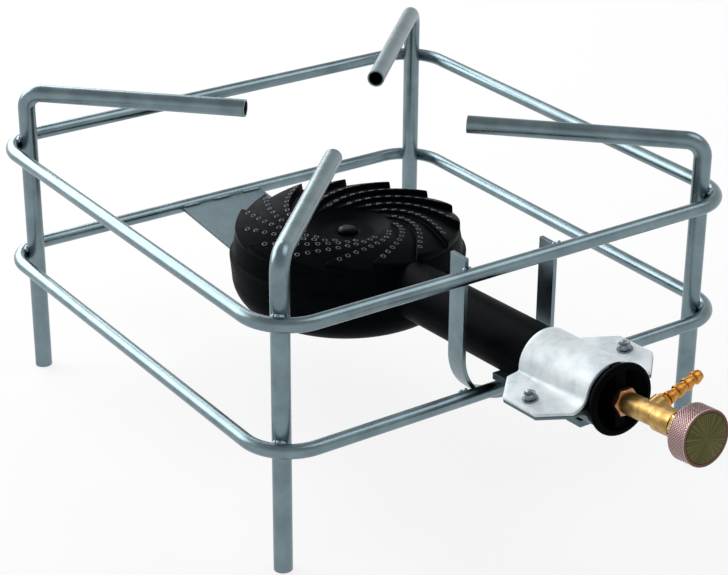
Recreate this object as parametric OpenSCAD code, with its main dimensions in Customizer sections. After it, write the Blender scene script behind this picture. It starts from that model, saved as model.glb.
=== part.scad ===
// Outdoor gas burner: a square welded stand with four pot arms, a cast burner with its mixing
// tube clamped in it, and a brass needle valve with a hose barb at the tube's mouth.
// +Z is up, +X is right and the valve points to -Y. The origin is on the ground, under the
// middle of the whole burner's footprint.

/* [Stand] */
// Outside width of the two square rings
frame_w = 400; // [360:1:440]
// Diameter of the rings' round bar
ring_bar = 10; // [8:0.5:12]
// Centreline radius of the rings' corners
ring_corner_r = 33.7; // [28:0.1:40]
// Height of the lower ring's centreline above the ground
lower_ring_z = 96; // [94:0.5:98]
// Height of the upper ring's centreline above the ground
upper_ring_z = 186.5; // [180:0.5:195]
// Depth to which welded bars run into each other
weld_depth = 0.4; // [0.3:0.05:0.6]
// Distance from the origin back to the centre of the stand
stand_y = 93.05; // [80:0.1:110]

/* [Legs and pot arms] */
// Outside diameter of the tube
leg_tube = 13; // [11:0.5:15]
// Wall of the tube
leg_wall = 1.2; // [1:0.1:2]
// Height of the arms' centreline above the ground
arm_z = 228; // [222:1:245]
// Centreline radius of the knee
knee_r = 12; // [9:0.5:20]
// Distance of the arms' tips from the centre of the stand
arm_tip_r = 82; // [60:1:110]

/* [Burner cradle] */
// Width of the flat bar, along the mixing tube
cradle_bar_w = 16; // [12:1:20]
// Thickness of the flat bar
cradle_bar_t = 3; // [2.5:0.5:4]
// Gap between the two uprights
cradle_gap = 72.5; // [66:0.5:80]
// Depth of the cradle's inside bottom below the lower ring's centreline
cradle_drop = 9; // [7:0.5:12]
// Rise of the left upright's end above the upper ring's centreline
cradle_left_rise = 10.5; // [6:0.5:14]
// Rise of the right upright's end above the upper ring's centreline
cradle_right_rise = 2.5; // [2:0.5:10]

/* [Rear support strap] */
// Width of the sheet strap
strap_w = 74; // [60:1:90]
// Thickness of the sheet strap
strap_t = 2.5; // [2:0.5:3.5]
// Length of the strap in front of the burner's bolt
strap_nose = 28; // [20:1:40]
// Length that stays flat behind the bowl's flat underside
strap_flat_over = 10; // [9:0.5:14]
// Distance of the strap's rear bend behind the bowl's belt
strap_bend_gap = 11.7; // [8:0.1:16]
// Fall of the back run, from the ring towards the bowl, in degrees
strap_back_slope = 5.3; // [4:0.1:7]

/* [Burner casting] */
// Place of the burner's axis across the stand
burner_x = -3; // [-6:0.5:6]
// Place of the burner's axis behind the stand's centre
burner_y = 4; // [0:0.5:8]
// Height of the bowl's underside at its axis
burner_z = 78; // [76:0.5:80]
// Rise of the whole casting towards the mouth, in degrees
casting_tilt = 1.5; // [1:0.05:2.5]
// Radius of the bowl's flat underside
bowl_flat_r = 60; // [55:0.5:64]
// Radius of the bowl's rounded bottom edge
bowl_edge_r = 27.5; // [24:0.5:29]
// Radius of the bowl at its belt
belt_r = 88.7; // [88:0.1:92]
// Height of the belt above the underside
belt_z = 42.8; // [38:0.1:46]
// Width of the step above the belt
belt_step = 2.2; // [1.5:0.1:3]
// Height of the bowl's rim above the underside
bowl_h = 58.5; // [56:0.5:60]
// Wall of the casting
cast_wall = 5; // [4:0.5:6]
// Radius of the pillar round the burner's bolt
pillar_r = 11; // [9:0.5:13]

/* [Mixing tube] */
// Outside radius of the tube
tube_r = 20.8; // [19:0.1:22]
// Radius of the tube's bore
tube_bore_r = 16; // [14:0.5:17]
// Height of the tube's axis above the bowl's underside, at the burner's axis
tube_rise = 38.3; // [37:0.1:40]
// Rise of the tube within the casting, in degrees
tube_slope = 1.65; // [1:0.05:2.5]
// Distance from the burner's axis to the front face of the mouth
mouth_s = 313; // [312:1:325]
// Length of the bell mouth
bell_len = 8.5; // [7:0.5:9]
// Outside radius of the bell mouth
bell_r = 25; // [24:0.1:29]
// Radius of the bell mouth's rolled lip
lip_r = 2; // [1.5:0.1:2.4]
// Width of the bar that carries the valve across the mouth
bridge_w = 8; // [6:0.5:10]
// Thickness of the bar that carries the valve
bridge_t = 7; // [5:0.5:9]
// Radius of the boss in the middle of that bar
boss_r = 9.5; // [8:0.5:11]
// Length of that boss
boss_len = 12; // [9:0.5:14]
// Length of the valve's spigot that stands out behind that boss
spigot_over = 4; // [3:0.5:6]

/* [Burner cap] */
// Radius of the cap
cap_r = 84; // [83:0.1:85]
// Thickness of the cap's plate
cap_t = 5; // [4:0.5:6]
// Height of the cap's plain rim above the bowl's rim
cap_rim_t = 2; // [1.5:0.1:3]
// Radius at which the cap's arched ring is highest
crown_r = 62; // [56:1:68]
// Height by which that ring is arched, from its crown to the rim
crown_h = 2.4; // [1:0.1:3.5]
// Inner radius of the arched ring
dish_r = 32; // [28:1:38]
// Depth of the dish in the cap's middle
dish_depth = 5; // [3:0.5:6]
// Radius of the dish's flat middle
cap_hub_r = 20; // [17:0.5:24]
// Number of spiral teeth
tooth_count = 15; // [12:1:20]
// Height of a step at the rim
tooth_h = 5.8; // [4:0.1:7]
// Plan angle of the first tooth's tip, in degrees
tooth_first = 56.7; // [0:0.1:90]
// Plan angle, in degrees, by which a step leaves the radius towards the middle, to first order
tooth_sweep = 35.4; // [25:0.1:45]
// The same angle to second order, in degrees
tooth_curl = 134; // [100:1:150]
// Height of a step's foot above the plate, and the teeth's setback from the cap's edges
tooth_foot = 0.3; // [0.2:0.05:0.5]
// Depth to which the teeth reach into the plate
tooth_root = 1; // [0.6:0.1:1.4]
// Number of flats along each tooth's ramp
ramp_steps = 3; // [2:1:5]
// Number of flats along each tooth's step
radius_steps = 6; // [5:1:10]

/* [Tube clamp] */
// Distance from the burner's axis to the clamp's back edge
clamp_s = 235.5; // [228:0.1:236]
// Length of the clamp along the tube
clamp_len = 68; // [60:1:68]
// Turn of the clamp about the tube, raising its right side, in degrees
clamp_roll = 9.3; // [0:0.1:12]
// Thickness of the clamp's sheet
clamp_t = 2; // [1.5:0.5:3]
// Half width of the clamp over its flanges
clamp_half_w = 50; // [48:1:56]
// Size of the flanges' corner cuts
clamp_corner = 17.5; // [14:0.5:18]
// Gap between the flanges of the two halves
clamp_gap = 0.4; // [0.3:0.1:1]
// Radius of the fold between saddle and flange
clamp_fold_r = 7; // [4:0.5:8]
// Distance of the screws from the tube's axis
clamp_screw_x = 40.2; // [39:0.1:42]
// Width of the tongue that reaches back onto the lower ring
tongue_w = 24; // [18:1:30]
// Length of the tongue behind the lower ring's centreline
tongue_over = 6; // [4:0.5:10]

/* [Fasteners] */
// Radius of the clamp screws
screw_r = 2.5; // [2:0.1:3]
// Radius of the clamp screws' heads
screw_head_r = 4; // [3.5:0.1:5]
// Height of the clamp screws' heads
screw_head_h = 4; // [3:0.1:5]
// Radius of the clamp screws' washers
washer_r = 5.5; // [5:0.1:7]
// Thickness of the clamp screws' washers
washer_t = 1; // [0.8:0.1:1.6]
// Width across flats of the clamp screws' nuts
nut_af = 8; // [7:0.5:10]
// Height of the clamp screws' nuts
nut_h = 4; // [3:0.1:5]
// Length of thread that stands out of each nut
thread_out = 1.6; // [1:0.1:3]
// Radius of the burner's bolt
bolt_r = 4; // [3:0.1:5]
// Radius of the burner bolt's round head
bolt_head_r = 7.5; // [6.5:0.1:9]
// Height of the burner bolt's head
bolt_head_h = 4; // [3:0.1:5]
// Radius of the burner bolt's washer
bolt_washer_r = 9; // [8:0.1:12]
// Thickness of the burner bolt's washer
bolt_washer_t = 1.3; // [1:0.1:2]
// Width across flats of the burner bolt's nut
bolt_nut_af = 13; // [12:0.5:16]
// Height of the burner bolt's nut
bolt_nut_h = 6.5; // [5:0.1:8]
// Radial clearance of screws in plain holes
hole_gap = 0.3; // [0.2:0.05:0.5]

/* [Valve] */
// Upward cant of the valve in the tube's mouth, in degrees
valve_cant = 3; // [1:0.1:4]
// Radius of the valve's threaded spigot
spigot_r = 5; // [4.5:0.1:5.5]
// Width across flats of the lock nut
lock_nut_af = 17; // [15:0.5:19]
// Thickness of the lock nut
lock_nut_h = 5; // [4:0.1:7]
// Radius of the valve body's neck
neck_r = 7.5; // [7:0.1:8]
// Radius of the valve body's shoulder
shoulder_r = 9; // [8.5:0.1:10]
// Distance from the lock nut's face on the boss to the shoulder
shoulder_z = 35; // [34:0.5:38]
// Distance from the boss to the front end of the valve body
valve_len = 51; // [49:0.5:55]
// Radius of the valve's gas passage
passage_r = 1.6; // [1.2:0.1:2]
// Distance from the boss to the needle's seat
seat_z = 19.5; // [18:0.5:20]
// Radius of the needle's point
needle_r = 0.8; // [0.5:0.1:1]
// Radius of the jet's threaded shank
jet_r = 3; // [2.5:0.1:3.2]
// Length of the jet's threaded shank
jet_shank = 6; // [4:0.5:7]
// Width across flats of the jet
jet_af = 8; // [7:0.5:9]
// Length of the jet outside the spigot
jet_len = 7; // [5:0.5:9]
// Radius of the jet's orifice
jet_hole_r = 0.4; // [0.3:0.05:0.6]

/* [Hose barb] */
// Distance from the boss to the barb's axis
barb_z = 25.5; // [25:0.5:26.5]
// Rise of the barb above the horizontal, in degrees
barb_angle = 18.6; // [0:0.1:45]
// Radius of the boss that takes the barb
barb_boss_r = 7; // [6.5:0.1:7.4]
// Distance from the valve's axis to that boss's face
barb_boss_len = 11; // [10.2:0.1:12]
// Distance from the valve's axis to the barb's tip
barb_reach = 45; // [40:1:60]
// Radius of the barb's collar
barb_collar_r = 5.6; // [5:0.1:6]
// Thickness of the barb's collar
barb_collar_t = 2; // [1.5:0.1:3]
// Radius of the barb's crests
barb_crest_r = 4.5; // [4:0.1:5]
// Radius of the barb between its crests
barb_root_r = 3.5; // [3.1:0.1:3.8]
// Number of crests
barb_count = 4; // [3:1:6]
// Share of the crests' pitch that is plain
barb_plain_share = 0.25; // [0.1:0.05:0.4]
// Radius of the barb's bore
barb_bore_r = 2; // [1.5:0.1:2.4]
// Radius of the barb's thread
barb_thread_r = 3.5; // [3:0.1:3.8]
// Thickness of the barb's sealing washer
seal_t = 1; // [0.8:0.1:1.5]

/* [Spindle and knob] */
// Radius of the spindle
spindle_r = 3; // [2.6:0.1:3.4]
// Radial running clearance of the spindle
running_gap = 0.05; // [0.03:0.01:0.08]
// Radius of the gland in the valve body
gland_r = 5.5; // [5:0.1:6]
// Depth of the gland in the valve body
gland_depth = 10; // [8:0.5:12]
// Length of the gland packing
packing_len = 5; // [4:0.5:6]
// Width across flats of the gland nut
gland_nut_af = 17; // [15:0.5:18]
// Height of the gland nut's hexagon
gland_nut_h = 9; // [7:0.5:10]
// Gap between the gland nut and the knob
knob_gap = 2.5; // [1.5:0.5:5]
// Radius of the knob
knob_r = 19; // [17:0.5:22]
// Depth of the knob
knob_h = 14.5; // [12:0.5:18]
// Wall of the knob's rim
knob_wall = 3; // [2:0.5:4]
// Thickness of the knob's web
knob_web = 4; // [3:0.5:5]
// Radius of the knob's hub
knob_hub_r = 7; // [6:0.5:8]
// Chamfer of the knob's edges
knob_edge = 0.8; // [0.5:0.1:1.2]
// Radius of the knob's face disc
disc_r = 16.4; // [14:0.1:16.6]
// Thickness of the knob's face disc at its edge
disc_t = 1.2; // [1:0.1:1.6]
// Rise of the disc's domed middle
disc_dome = 0.8; // [0.5:0.1:1.2]
// Radius of the spindle's end in the knob
spindle_end_r = 2.5; // [2:0.1:2.7]
// Radius of the knob's screw
knob_screw_r = 1.5; // [1.2:0.1:1.6]
// Length of the knob's screw in the spindle
knob_screw_len = 6; // [5:0.5:8]
// Radius of the knob screw's head
knob_screw_head_r = 3.6; // [3.2:0.1:4]
// Height of the knob screw's head
knob_screw_head_h = 2; // [1.6:0.1:2.2]
// Radial gap of pieces that slip into each other and are then held fast
slip_gap = 0.1; // [0.05:0.01:0.2]

/* [Hidden] */
$fn = 48;

// Overrun of every cut
cut = 1;
// Half width of the rings at their centreline
ring_half = (frame_w - ring_bar) / 2;
// Each leg stands inside the rings' corners, touching both bars on the diagonal
leg_half = ring_half - ring_corner_r
    + (ring_corner_r - ring_bar / 2 - leg_tube / 2 + weld_depth) / sqrt(2);
leg_diagonal = leg_half * sqrt(2);
arm_len = leg_diagonal - arm_tip_r - knee_r;
// Inner faces of the ring bars, where flat pieces are welded on
ring_inside = ring_half - ring_bar / 2 + weld_depth;
cradle_r = cradle_gap / 2;
cradle_centre_z = lower_ring_z - cradle_drop + cradle_r;
// Heights in the cap, above the bowl's underside
cap_root_z = bowl_h + cap_rim_t;
cap_hub_z = plate_z(dish_r) - dish_depth;
bowl_rim_r = cap_r + slip_gap;
cap_spigot_r = bowl_rim_r - cast_wall - slip_gap;
tooth_pitch = 360 / tooth_count;
tooth_inner_r = dish_r + tooth_foot;
tooth_outer_r = cap_r - tooth_foot;
tooth_radii = [
    for (n = [0 : radius_steps]) tooth_inner_r + (tooth_outer_r - tooth_inner_r) * n / radius_steps
];
bolt_hole_r = bolt_r + hole_gap;
// Heights in the clamp, above the tube's axis
clamp_in_r = tube_r + slip_gap;
flange_top = clamp_gap / 2 + clamp_t;
// Height of the tube's axis above the lower ring's front bar, square to the tube
tube_angle = casting_tilt + tube_slope;
tube_axis_z = burner_z + tube_rise * cos(casting_tilt);
ring_reach = burner_y + ring_half;
ring_clear = (tube_axis_z + ring_reach * tan(tube_angle) - lower_ring_z) * cos(tube_angle);
tongue_low = ring_clear - ring_bar / 2 + weld_depth;
tongue_s = (ring_reach - tongue_over) / cos(tube_angle);
// Distances along the valve, from the boss on which its lock nut bears
spigot_back = boss_len + spigot_over;
gland_nut_z = valve_len + gland_nut_h;
knob_back = gland_nut_z + knob_gap;
knob_front = knob_back + knob_h;
knob_web_back = knob_front - disc_t - knob_screw_head_h - knob_web;
// Shares of the disc's radius at which its dome bends, towards the middle
dome_shares = [0.85, 0.7, 0.5, 0.3, 0];

// Height of a tooth's tip above the plate at radius r, without the step's foot
function step_h(r) = tooth_h * r / cap_r;

// Height of the cap's arched plate at radius r, above the bowl's underside
function plate_z(r) = cap_root_z + tooth_h - step_h(r)
    + crown_h * (1 - pow((r - crown_r) / (cap_r - crown_r), 2));

// Point at radius r and height z, a number of teeth round from the first tooth's step
function ring_point(r, teeth_round, z) =
    let (inward = (cap_r - r) / cap_r)
    let (turn = (tooth_sweep + tooth_curl * inward) * inward)
    let (angle = tooth_first + teeth_round * tooth_pitch + turn)
    [r * cos(angle), r * sin(angle), z];

// A point of the casting's middle section, in the stand's own y and z
function cast_point(y, z) = [
    burner_y + y * cos(casting_tilt) + z * sin(casting_tilt),
    burner_z - y * sin(casting_tilt) + z * cos(casting_tilt)
];

// Unit normal, to the right, of the line from a to b, and the corner that both normals share
function normal(a, b) = [b[1] - a[1], a[0] - b[0]] / norm(b - a);
function mitre(n, m) = (n + m) / (1 + n * m);

// Outline of a strip of thickness t to the right of a line of points
function strip(points, t) =
    let (last = len(points) - 1)
    concat(points, [
        for (i = [last : -1 : 0])
            let (n = normal(points[max(i - 1, 0)], points[max(i, 1)]))
            let (m = normal(points[min(i, last - 1)], points[min(i + 1, last)]))
            points[i] + t * mitre(n, m)
    ]);

module stand_place() {
    translate([0, stand_y, 0]) children();
}

// Casting: the bowl's underside is z = 0 and the mixing tube runs to -Y
module casting_place() {
    stand_place() translate([burner_x, burner_y, burner_z]) rotate([-casting_tilt, 0, 0]) children();
}

// Mixing tube: +Z runs out along its axis from the burner's axis, and +Y is up
module tube_tilt() {
    translate([0, 0, tube_rise]) rotate([90 - tube_slope, 0, 0]) children();
}

module tube_place() {
    casting_place() tube_tilt() children();
}

// Clamp: as the tube, turned about it so that the flanges lie along X
module clamp_place() {
    tube_place() rotate(clamp_roll) children();
}

// Valve: +Z runs out along its axis from the boss in the mouth, and +Y is up
module valve_cant_place() {
    translate([0, 0, mouth_s]) rotate([-valve_cant, 0, 0]) children();
}

module valve_place() {
    tube_place() valve_cant_place() children();
}

// Hose barb: +Z runs out along its axis from the valve's axis
module barb_place() {
    valve_place() translate([0, 0, barb_z]) rotate(barb_angle) rotate([0, 90, 0]) children();
}

module ring_shape(r, inner, h) {
    difference() {
        cylinder(h = h, r = r);
        translate([0, 0, -cut]) cylinder(h = h + 2 * cut, r = inner);
    }
}

module hexagon(across_flats, h) {
    cylinder(h = h, d = across_flats / cos(30), $fn = 6);
}

// Upright, knee and arm as one round bar, with +X towards the middle of the stand
module leg_bar(r, overrun) {
    knee_z = arm_z - knee_r;
    translate([0, 0, -overrun]) cylinder(h = knee_z + overrun, r = r);
    translate([knee_r, 0, knee_z]) rotate([90, 0, 0]) rotate(90)
        rotate_extrude(angle = 90) translate([knee_r, 0]) circle(r = r);
    translate([knee_r, 0, arm_z]) rotate([0, 90, 0]) cylinder(h = arm_len + overrun, r = r);
}

module leg(corner_angle) {
    color("slategray") stand_place()
        rotate(corner_angle) translate([leg_diagonal, 0, 0]) rotate(180) difference() {
            leg_bar(leg_tube / 2, 0);
            leg_bar(leg_tube / 2 - leg_wall, cut);
        }
}

module leg_front_left() { leg(225); }
module leg_front_right() { leg(315); }
module leg_back_left() { leg(135); }
module leg_back_right() { leg(45); }

module ring(z) {
    side = ring_half - ring_corner_r;
    color("slategray") stand_place() translate([0, 0, z]) for (turn = [0 : 90 : 270]) rotate(turn) {
        translate([side, side, 0])
            rotate_extrude(angle = 90) translate([ring_corner_r, 0]) circle(d = ring_bar);
        translate([ring_half, side, 0]) rotate([90, 0, 0]) cylinder(h = 2 * side, d = ring_bar);
    }
}

module upper_ring() { ring(upper_ring_z); }
module lower_ring() { ring(lower_ring_z); }

module burner_cradle() {
    outer_r = cradle_r + cradle_bar_t;
    left_h = upper_ring_z + cradle_left_rise - cradle_centre_z;
    right_h = upper_ring_z + cradle_right_rise - cradle_centre_z;
    color("slategray") stand_place()
        translate([burner_x, cradle_bar_w - ring_inside, cradle_centre_z]) rotate([90, 0, 0])
        linear_extrude(cradle_bar_w) {
            difference() {
                circle(r = outer_r);
                circle(r = cradle_r);
                translate([-outer_r - cut, 0]) square([2 * (outer_r + cut), outer_r + cut]);
            }
            translate([-outer_r, 0]) square([cradle_bar_t, left_h]);
            translate([cradle_r, 0]) square([cradle_bar_t, right_h]);
        }
}

// The strap lies flat under the bowl, climbs past its round edge and runs back to the ring
module rear_support_strap() {
    ring_top = lower_ring_z + strap_t / 2;
    bend_y = burner_y + belt_r + strap_bend_gap;
    top_line = [
        cast_point(-strap_nose, 0),
        cast_point(bowl_flat_r + strap_flat_over, 0),
        [bend_y, ring_top - (ring_inside - bend_y) * tan(strap_back_slope)],
        [ring_inside, ring_top]
    ];
    color("gray") difference() {
        stand_place() translate([burner_x - strap_w / 2, 0, 0]) rotate([90, 0, 90])
            linear_extrude(strap_w) polygon(strip(top_line, strap_t));
        casting_place() translate([0, 0, -strap_t - cut]) cylinder(h = strap_t + 2 * cut, r = bolt_hole_r);
    }
}

// Half section of the bowl, drawn in from its outer surface by inset and open above top_z
module bowl_section(inset, top_z) {
    translate([bowl_flat_r, bowl_edge_r]) circle(r = bowl_edge_r - inset);
    polygon([
        [0, inset], [bowl_flat_r, inset], [bowl_flat_r + bowl_edge_r - inset, bowl_edge_r],
        [belt_r - inset, belt_z], [belt_r - belt_step - inset, belt_z + belt_step],
        [bowl_rim_r - inset, bowl_h], [bowl_rim_r - inset, top_z], [0, top_z]
    ]);
}

// Half section of the tube with its bell mouth, from inside the bowl outwards
module tube_outer() {
    polygon([
        [0, bowl_flat_r], [tube_r, bowl_flat_r], [tube_r, mouth_s - bell_len], [bell_r, mouth_s - lip_r],
        [bell_r - lip_r, mouth_s], [0, mouth_s]
    ]);
    translate([bell_r - lip_r, mouth_s - lip_r]) circle(r = lip_r);
}

module tube_inner() {
    bell_in_r = bell_r - 2 * lip_r;
    polygon([
        [0, bowl_flat_r - cut], [tube_bore_r, bowl_flat_r - cut], [tube_bore_r, mouth_s - bell_len],
        [bell_in_r, mouth_s - lip_r], [bell_in_r, mouth_s + cut], [0, mouth_s + cut]
    ]);
}

// Bar across the mouth, with the boss that takes the valve's spigot
module bridge() {
    bar_s = mouth_s - lip_r - bridge_t;
    difference() {
        union() {
            intersection() {
                translate([-bridge_w / 2, -bell_r, bar_s]) cube([bridge_w, 2 * bell_r, bridge_t]);
                cylinder(h = mouth_s, r = bell_r - lip_r);
            }
            valve_cant_place() translate([0, 0, -boss_len]) cylinder(h = boss_len, r = boss_r);
        }
        valve_cant_place() translate([0, 0, -boss_len - cut])
            cylinder(h = boss_len + 2 * cut, r = spigot_r + slip_gap);
    }
}

module burner_body() {
    color("#1c1e21") {
        casting_place() difference() {
            union() {
                rotate_extrude() bowl_section(0, bowl_h);
                tube_tilt() rotate_extrude() tube_outer();
            }
            difference() {
                rotate_extrude() bowl_section(cast_wall, bowl_h + cut);
                cylinder(h = cap_hub_z - cap_t - slip_gap, r = pillar_r);
            }
            tube_tilt() rotate_extrude() tube_inner();
            translate([0, 0, bowl_h]) cylinder(h = tube_r, r = bowl_rim_r);
            translate([0, 0, -cut]) cylinder(h = cap_hub_z, r = bolt_hole_r);
        }
        tube_place() bridge();
    }
}

// Corners of the toothed ring: ramp_steps + 1 along each tooth's ramp on every radius of its top,
// and ramp_steps on its underside, which lies inside the cap's plate
tooth_top = [
    for (r = tooth_radii) for (i = [0 : tooth_count - 1]) for (k = [0 : ramp_steps])
        ring_point(r, i + k / ramp_steps, plate_z(r) + tooth_foot + (1 - k / ramp_steps) * step_h(r))
];
tooth_under = [
    for (r = tooth_radii) for (i = [0 : tooth_count - 1]) for (k = [0 : ramp_steps - 1])
        ring_point(r, i + k / ramp_steps, plate_z(r) - tooth_root)
];

function top_at(j, i, k) = (j * tooth_count + (i + tooth_count) % tooth_count) * (ramp_steps + 1) + k;
function under_at(j, i, k) =
    let (place = (i * ramp_steps + k) % (tooth_count * ramp_steps))
    len(tooth_top) + j * tooth_count * ramp_steps + place;

// Wall of the toothed ring at its inner or outer radius; its first face takes in the step's foot
function wall_faces(j) = [
    for (i = [0 : tooth_count - 1]) for (k = [0 : ramp_steps - 1]) concat(
        [top_at(j, i, k), top_at(j, i, k + 1), under_at(j, i, k + 1), under_at(j, i, k)],
        k == 0 ? [top_at(j, i - 1, ramp_steps)] : []
    )
];

function reversed(face) = [for (n = [len(face) - 1 : -1 : 0]) face[n]];

// The toothed ring: ramps and steps on top, a plain underside and two walls
module teeth() {
    last = len(tooth_radii) - 1;
    ramps = [
        for (j = [0 : last - 1]) for (i = [0 : tooth_count - 1]) for (k = [0 : ramp_steps - 1]) each [
            [top_at(j, i, k), top_at(j, i, k + 1), top_at(j + 1, i, k + 1)],
            [top_at(j, i, k), top_at(j + 1, i, k + 1), top_at(j + 1, i, k)]
        ]
    ];
    steps = [
        for (j = [0 : last - 1]) for (i = [0 : tooth_count - 1]) [
            top_at(j, i - 1, ramp_steps), top_at(j, i, 0),
            top_at(j + 1, i, 0), top_at(j + 1, i - 1, ramp_steps)
        ]
    ];
    underside = [
        for (j = [0 : last - 1]) for (i = [0 : tooth_count - 1]) for (k = [0 : ramp_steps - 1]) each [
            [under_at(j, i, k), under_at(j + 1, i, k + 1), under_at(j, i, k + 1)],
            [under_at(j, i, k), under_at(j + 1, i, k), under_at(j + 1, i, k + 1)]
        ]
    ];
    polyhedron(
        concat(tooth_top, tooth_under),
        concat(ramps, steps, underside, wall_faces(last), [for (face = wall_faces(0)) reversed(face)])
    );
}

module burner_cap() {
    last = len(tooth_radii) - 1;
    under = [for (r = [dish_r, crown_r, cap_spigot_r]) [r, plate_z(r) - cap_t]];
    top = [for (n = [last : -1 : 0]) [tooth_radii[n], plate_z(tooth_radii[n])]];
    color("#1c1e21") casting_place() difference() {
        union() {
            rotate_extrude() polygon(concat(
                [[0, cap_hub_z - cap_t], [cap_hub_r, cap_hub_z - cap_t]], under,
                [[cap_spigot_r, bowl_h], [cap_r, bowl_h], [cap_r, cap_root_z]], top,
                [[dish_r, plate_z(dish_r)], [cap_hub_r, cap_hub_z], [0, cap_hub_z]]
            ));
            teeth();
        }
        translate([0, 0, cap_hub_z - cap_t - cut]) cylinder(h = cap_t + 2 * cut, r = bolt_hole_r);
    }
}

// Bolt through cap, pillar, bowl and strap, with its round head in the middle of the cap
module burner_bolt() {
    under = strap_t + bolt_washer_t + bolt_nut_h + thread_out;
    color("dimgray") casting_place() {
        translate([0, 0, -under]) cylinder(h = under + cap_hub_z, r = bolt_r);
        translate([0, 0, cap_hub_z]) cylinder(h = bolt_head_h, r = bolt_head_r);
    }
}

module burner_bolt_washer() {
    color("silver") casting_place() translate([0, 0, -strap_t - bolt_washer_t])
        ring_shape(bolt_washer_r, bolt_hole_r, bolt_washer_t);
}

module nut(across_flats, hole_r, h) {
    difference() {
        hexagon(across_flats, h);
        translate([0, 0, -cut]) cylinder(h = h + 2 * cut, r = hole_r);
    }
}

module burner_bolt_nut() {
    color("silver") casting_place() translate([0, 0, -strap_t - bolt_washer_t - bolt_nut_h])
        nut(bolt_nut_af, bolt_r + slip_gap, bolt_nut_h);
}

// Plan of both clamp halves, with their corners cut off
module clamp_plan() {
    inner = clamp_half_w - clamp_corner;
    rotate([90, 0, 0]) linear_extrude(2 * clamp_half_w, center = true) polygon([
        [-inner, clamp_s], [inner, clamp_s],
        [clamp_half_w, clamp_s + clamp_corner], [clamp_half_w, clamp_s + clamp_len - clamp_corner],
        [inner, clamp_s + clamp_len], [-inner, clamp_s + clamp_len],
        [-clamp_half_w, clamp_s + clamp_len - clamp_corner], [-clamp_half_w, clamp_s + clamp_corner]
    ]);
}

// Section of the upper half: a half round over the tube, a fold and a flat flange on each side
module clamp_section() {
    out_r = clamp_in_r + clamp_t;
    fold_x = sqrt(pow(out_r + clamp_fold_r, 2) - pow(flange_top + clamp_fold_r, 2));
    difference() {
        union() {
            circle(r = out_r);
            translate([-clamp_half_w, clamp_gap / 2]) square([2 * clamp_half_w, clamp_t]);
            translate([-fold_x, clamp_gap / 2]) square([2 * fold_x, clamp_t + clamp_fold_r]);
        }
        for (side = [-1, 1]) translate([side * fold_x, flange_top + clamp_fold_r]) circle(r = clamp_fold_r);
        circle(r = clamp_in_r);
        translate([-clamp_half_w, -2 * out_r]) square([2 * clamp_half_w, 2 * out_r + clamp_gap / 2]);
    }
}

module clamp_half() {
    difference() {
        intersection() {
            translate([0, 0, clamp_s]) linear_extrude(clamp_len) clamp_section();
            clamp_plan();
        }
        clamp_screw_places() rotate([-90, 0, 0]) cylinder(h = flange_top + cut, r = screw_r + hole_gap);
    }
}

module clamp_screw_places() {
    for (side = [-1, 1]) translate([side * clamp_screw_x, 0, clamp_s + clamp_len / 2]) children();
}

module clamp_saddle() {
    color("gainsboro") clamp_place() clamp_half();
}

// Lower half, with the upright tongue that lies on the lower ring and is welded to it
module clamp_base() {
    tongue_len = clamp_s + clamp_len - clamp_corner - tongue_s;
    wall_middle_r = clamp_in_r + clamp_t / 2;
    color("gainsboro") {
        clamp_place() mirror([0, 1, 0]) clamp_half();
        tube_place() difference() {
            translate([-tongue_w / 2, -tongue_low, tongue_s])
                cube([tongue_w, tongue_low - wall_middle_r, tongue_len]);
            cylinder(h = mouth_s, r = wall_middle_r);
        }
    }
}

// Screws from below, with their heads under the lower flanges
module clamp_screws() {
    shank = 2 * flange_top + washer_t + nut_h + thread_out;
    color("silver") clamp_place() clamp_screw_places() translate([0, -flange_top, 0]) rotate([-90, 0, 0]) {
        translate([0, 0, -screw_head_h]) cylinder(h = screw_head_h, r = screw_head_r);
        cylinder(h = shank, r = screw_r);
    }
}

module clamp_washers() {
    color("silver") clamp_place() clamp_screw_places() translate([0, flange_top, 0]) rotate([-90, 0, 0])
        ring_shape(washer_r, screw_r + hole_gap, washer_t);
}

module clamp_nuts() {
    color("silver") clamp_place() clamp_screw_places() translate([0, flange_top + washer_t, 0])
        rotate([-90, 0, 0]) nut(nut_af, screw_r + slip_gap, nut_h);
}

// Brass body: spigot through the boss, neck with the side boss for the barb, and shoulder
module valve_body() {
    color("goldenrod") difference() {
        union() {
            valve_place() rotate_extrude() polygon([
                [0, -spigot_back], [spigot_r, -spigot_back], [spigot_r, lock_nut_h],
                [neck_r, lock_nut_h], [neck_r, shoulder_z - shoulder_r + neck_r],
                [shoulder_r, shoulder_z], [shoulder_r, valve_len], [0, valve_len]
            ]);
            barb_place() cylinder(h = barb_boss_len, r = barb_boss_r);
        }
        valve_place() rotate_extrude() polygon([
            [0, -spigot_back - cut], [jet_r + slip_gap, -spigot_back - cut],
            [jet_r + slip_gap, jet_shank - spigot_back], [passage_r, jet_shank - spigot_back],
            [passage_r, seat_z], [spindle_r + running_gap, seat_z + spindle_r],
            [spindle_r + running_gap, valve_len - gland_depth], [gland_r, valve_len - gland_depth],
            [gland_r, valve_len + cut], [0, valve_len + cut]
        ]);
        barb_place() {
            cylinder(h = barb_boss_len, r = barb_bore_r);
            translate([0, 0, neck_r - barb_bore_r])
                cylinder(h = barb_boss_len, r = barb_thread_r + slip_gap);
        }
    }
}

module valve_lock_nut() {
    color("peru") valve_place() nut(lock_nut_af, spigot_r + slip_gap, lock_nut_h);
}

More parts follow.
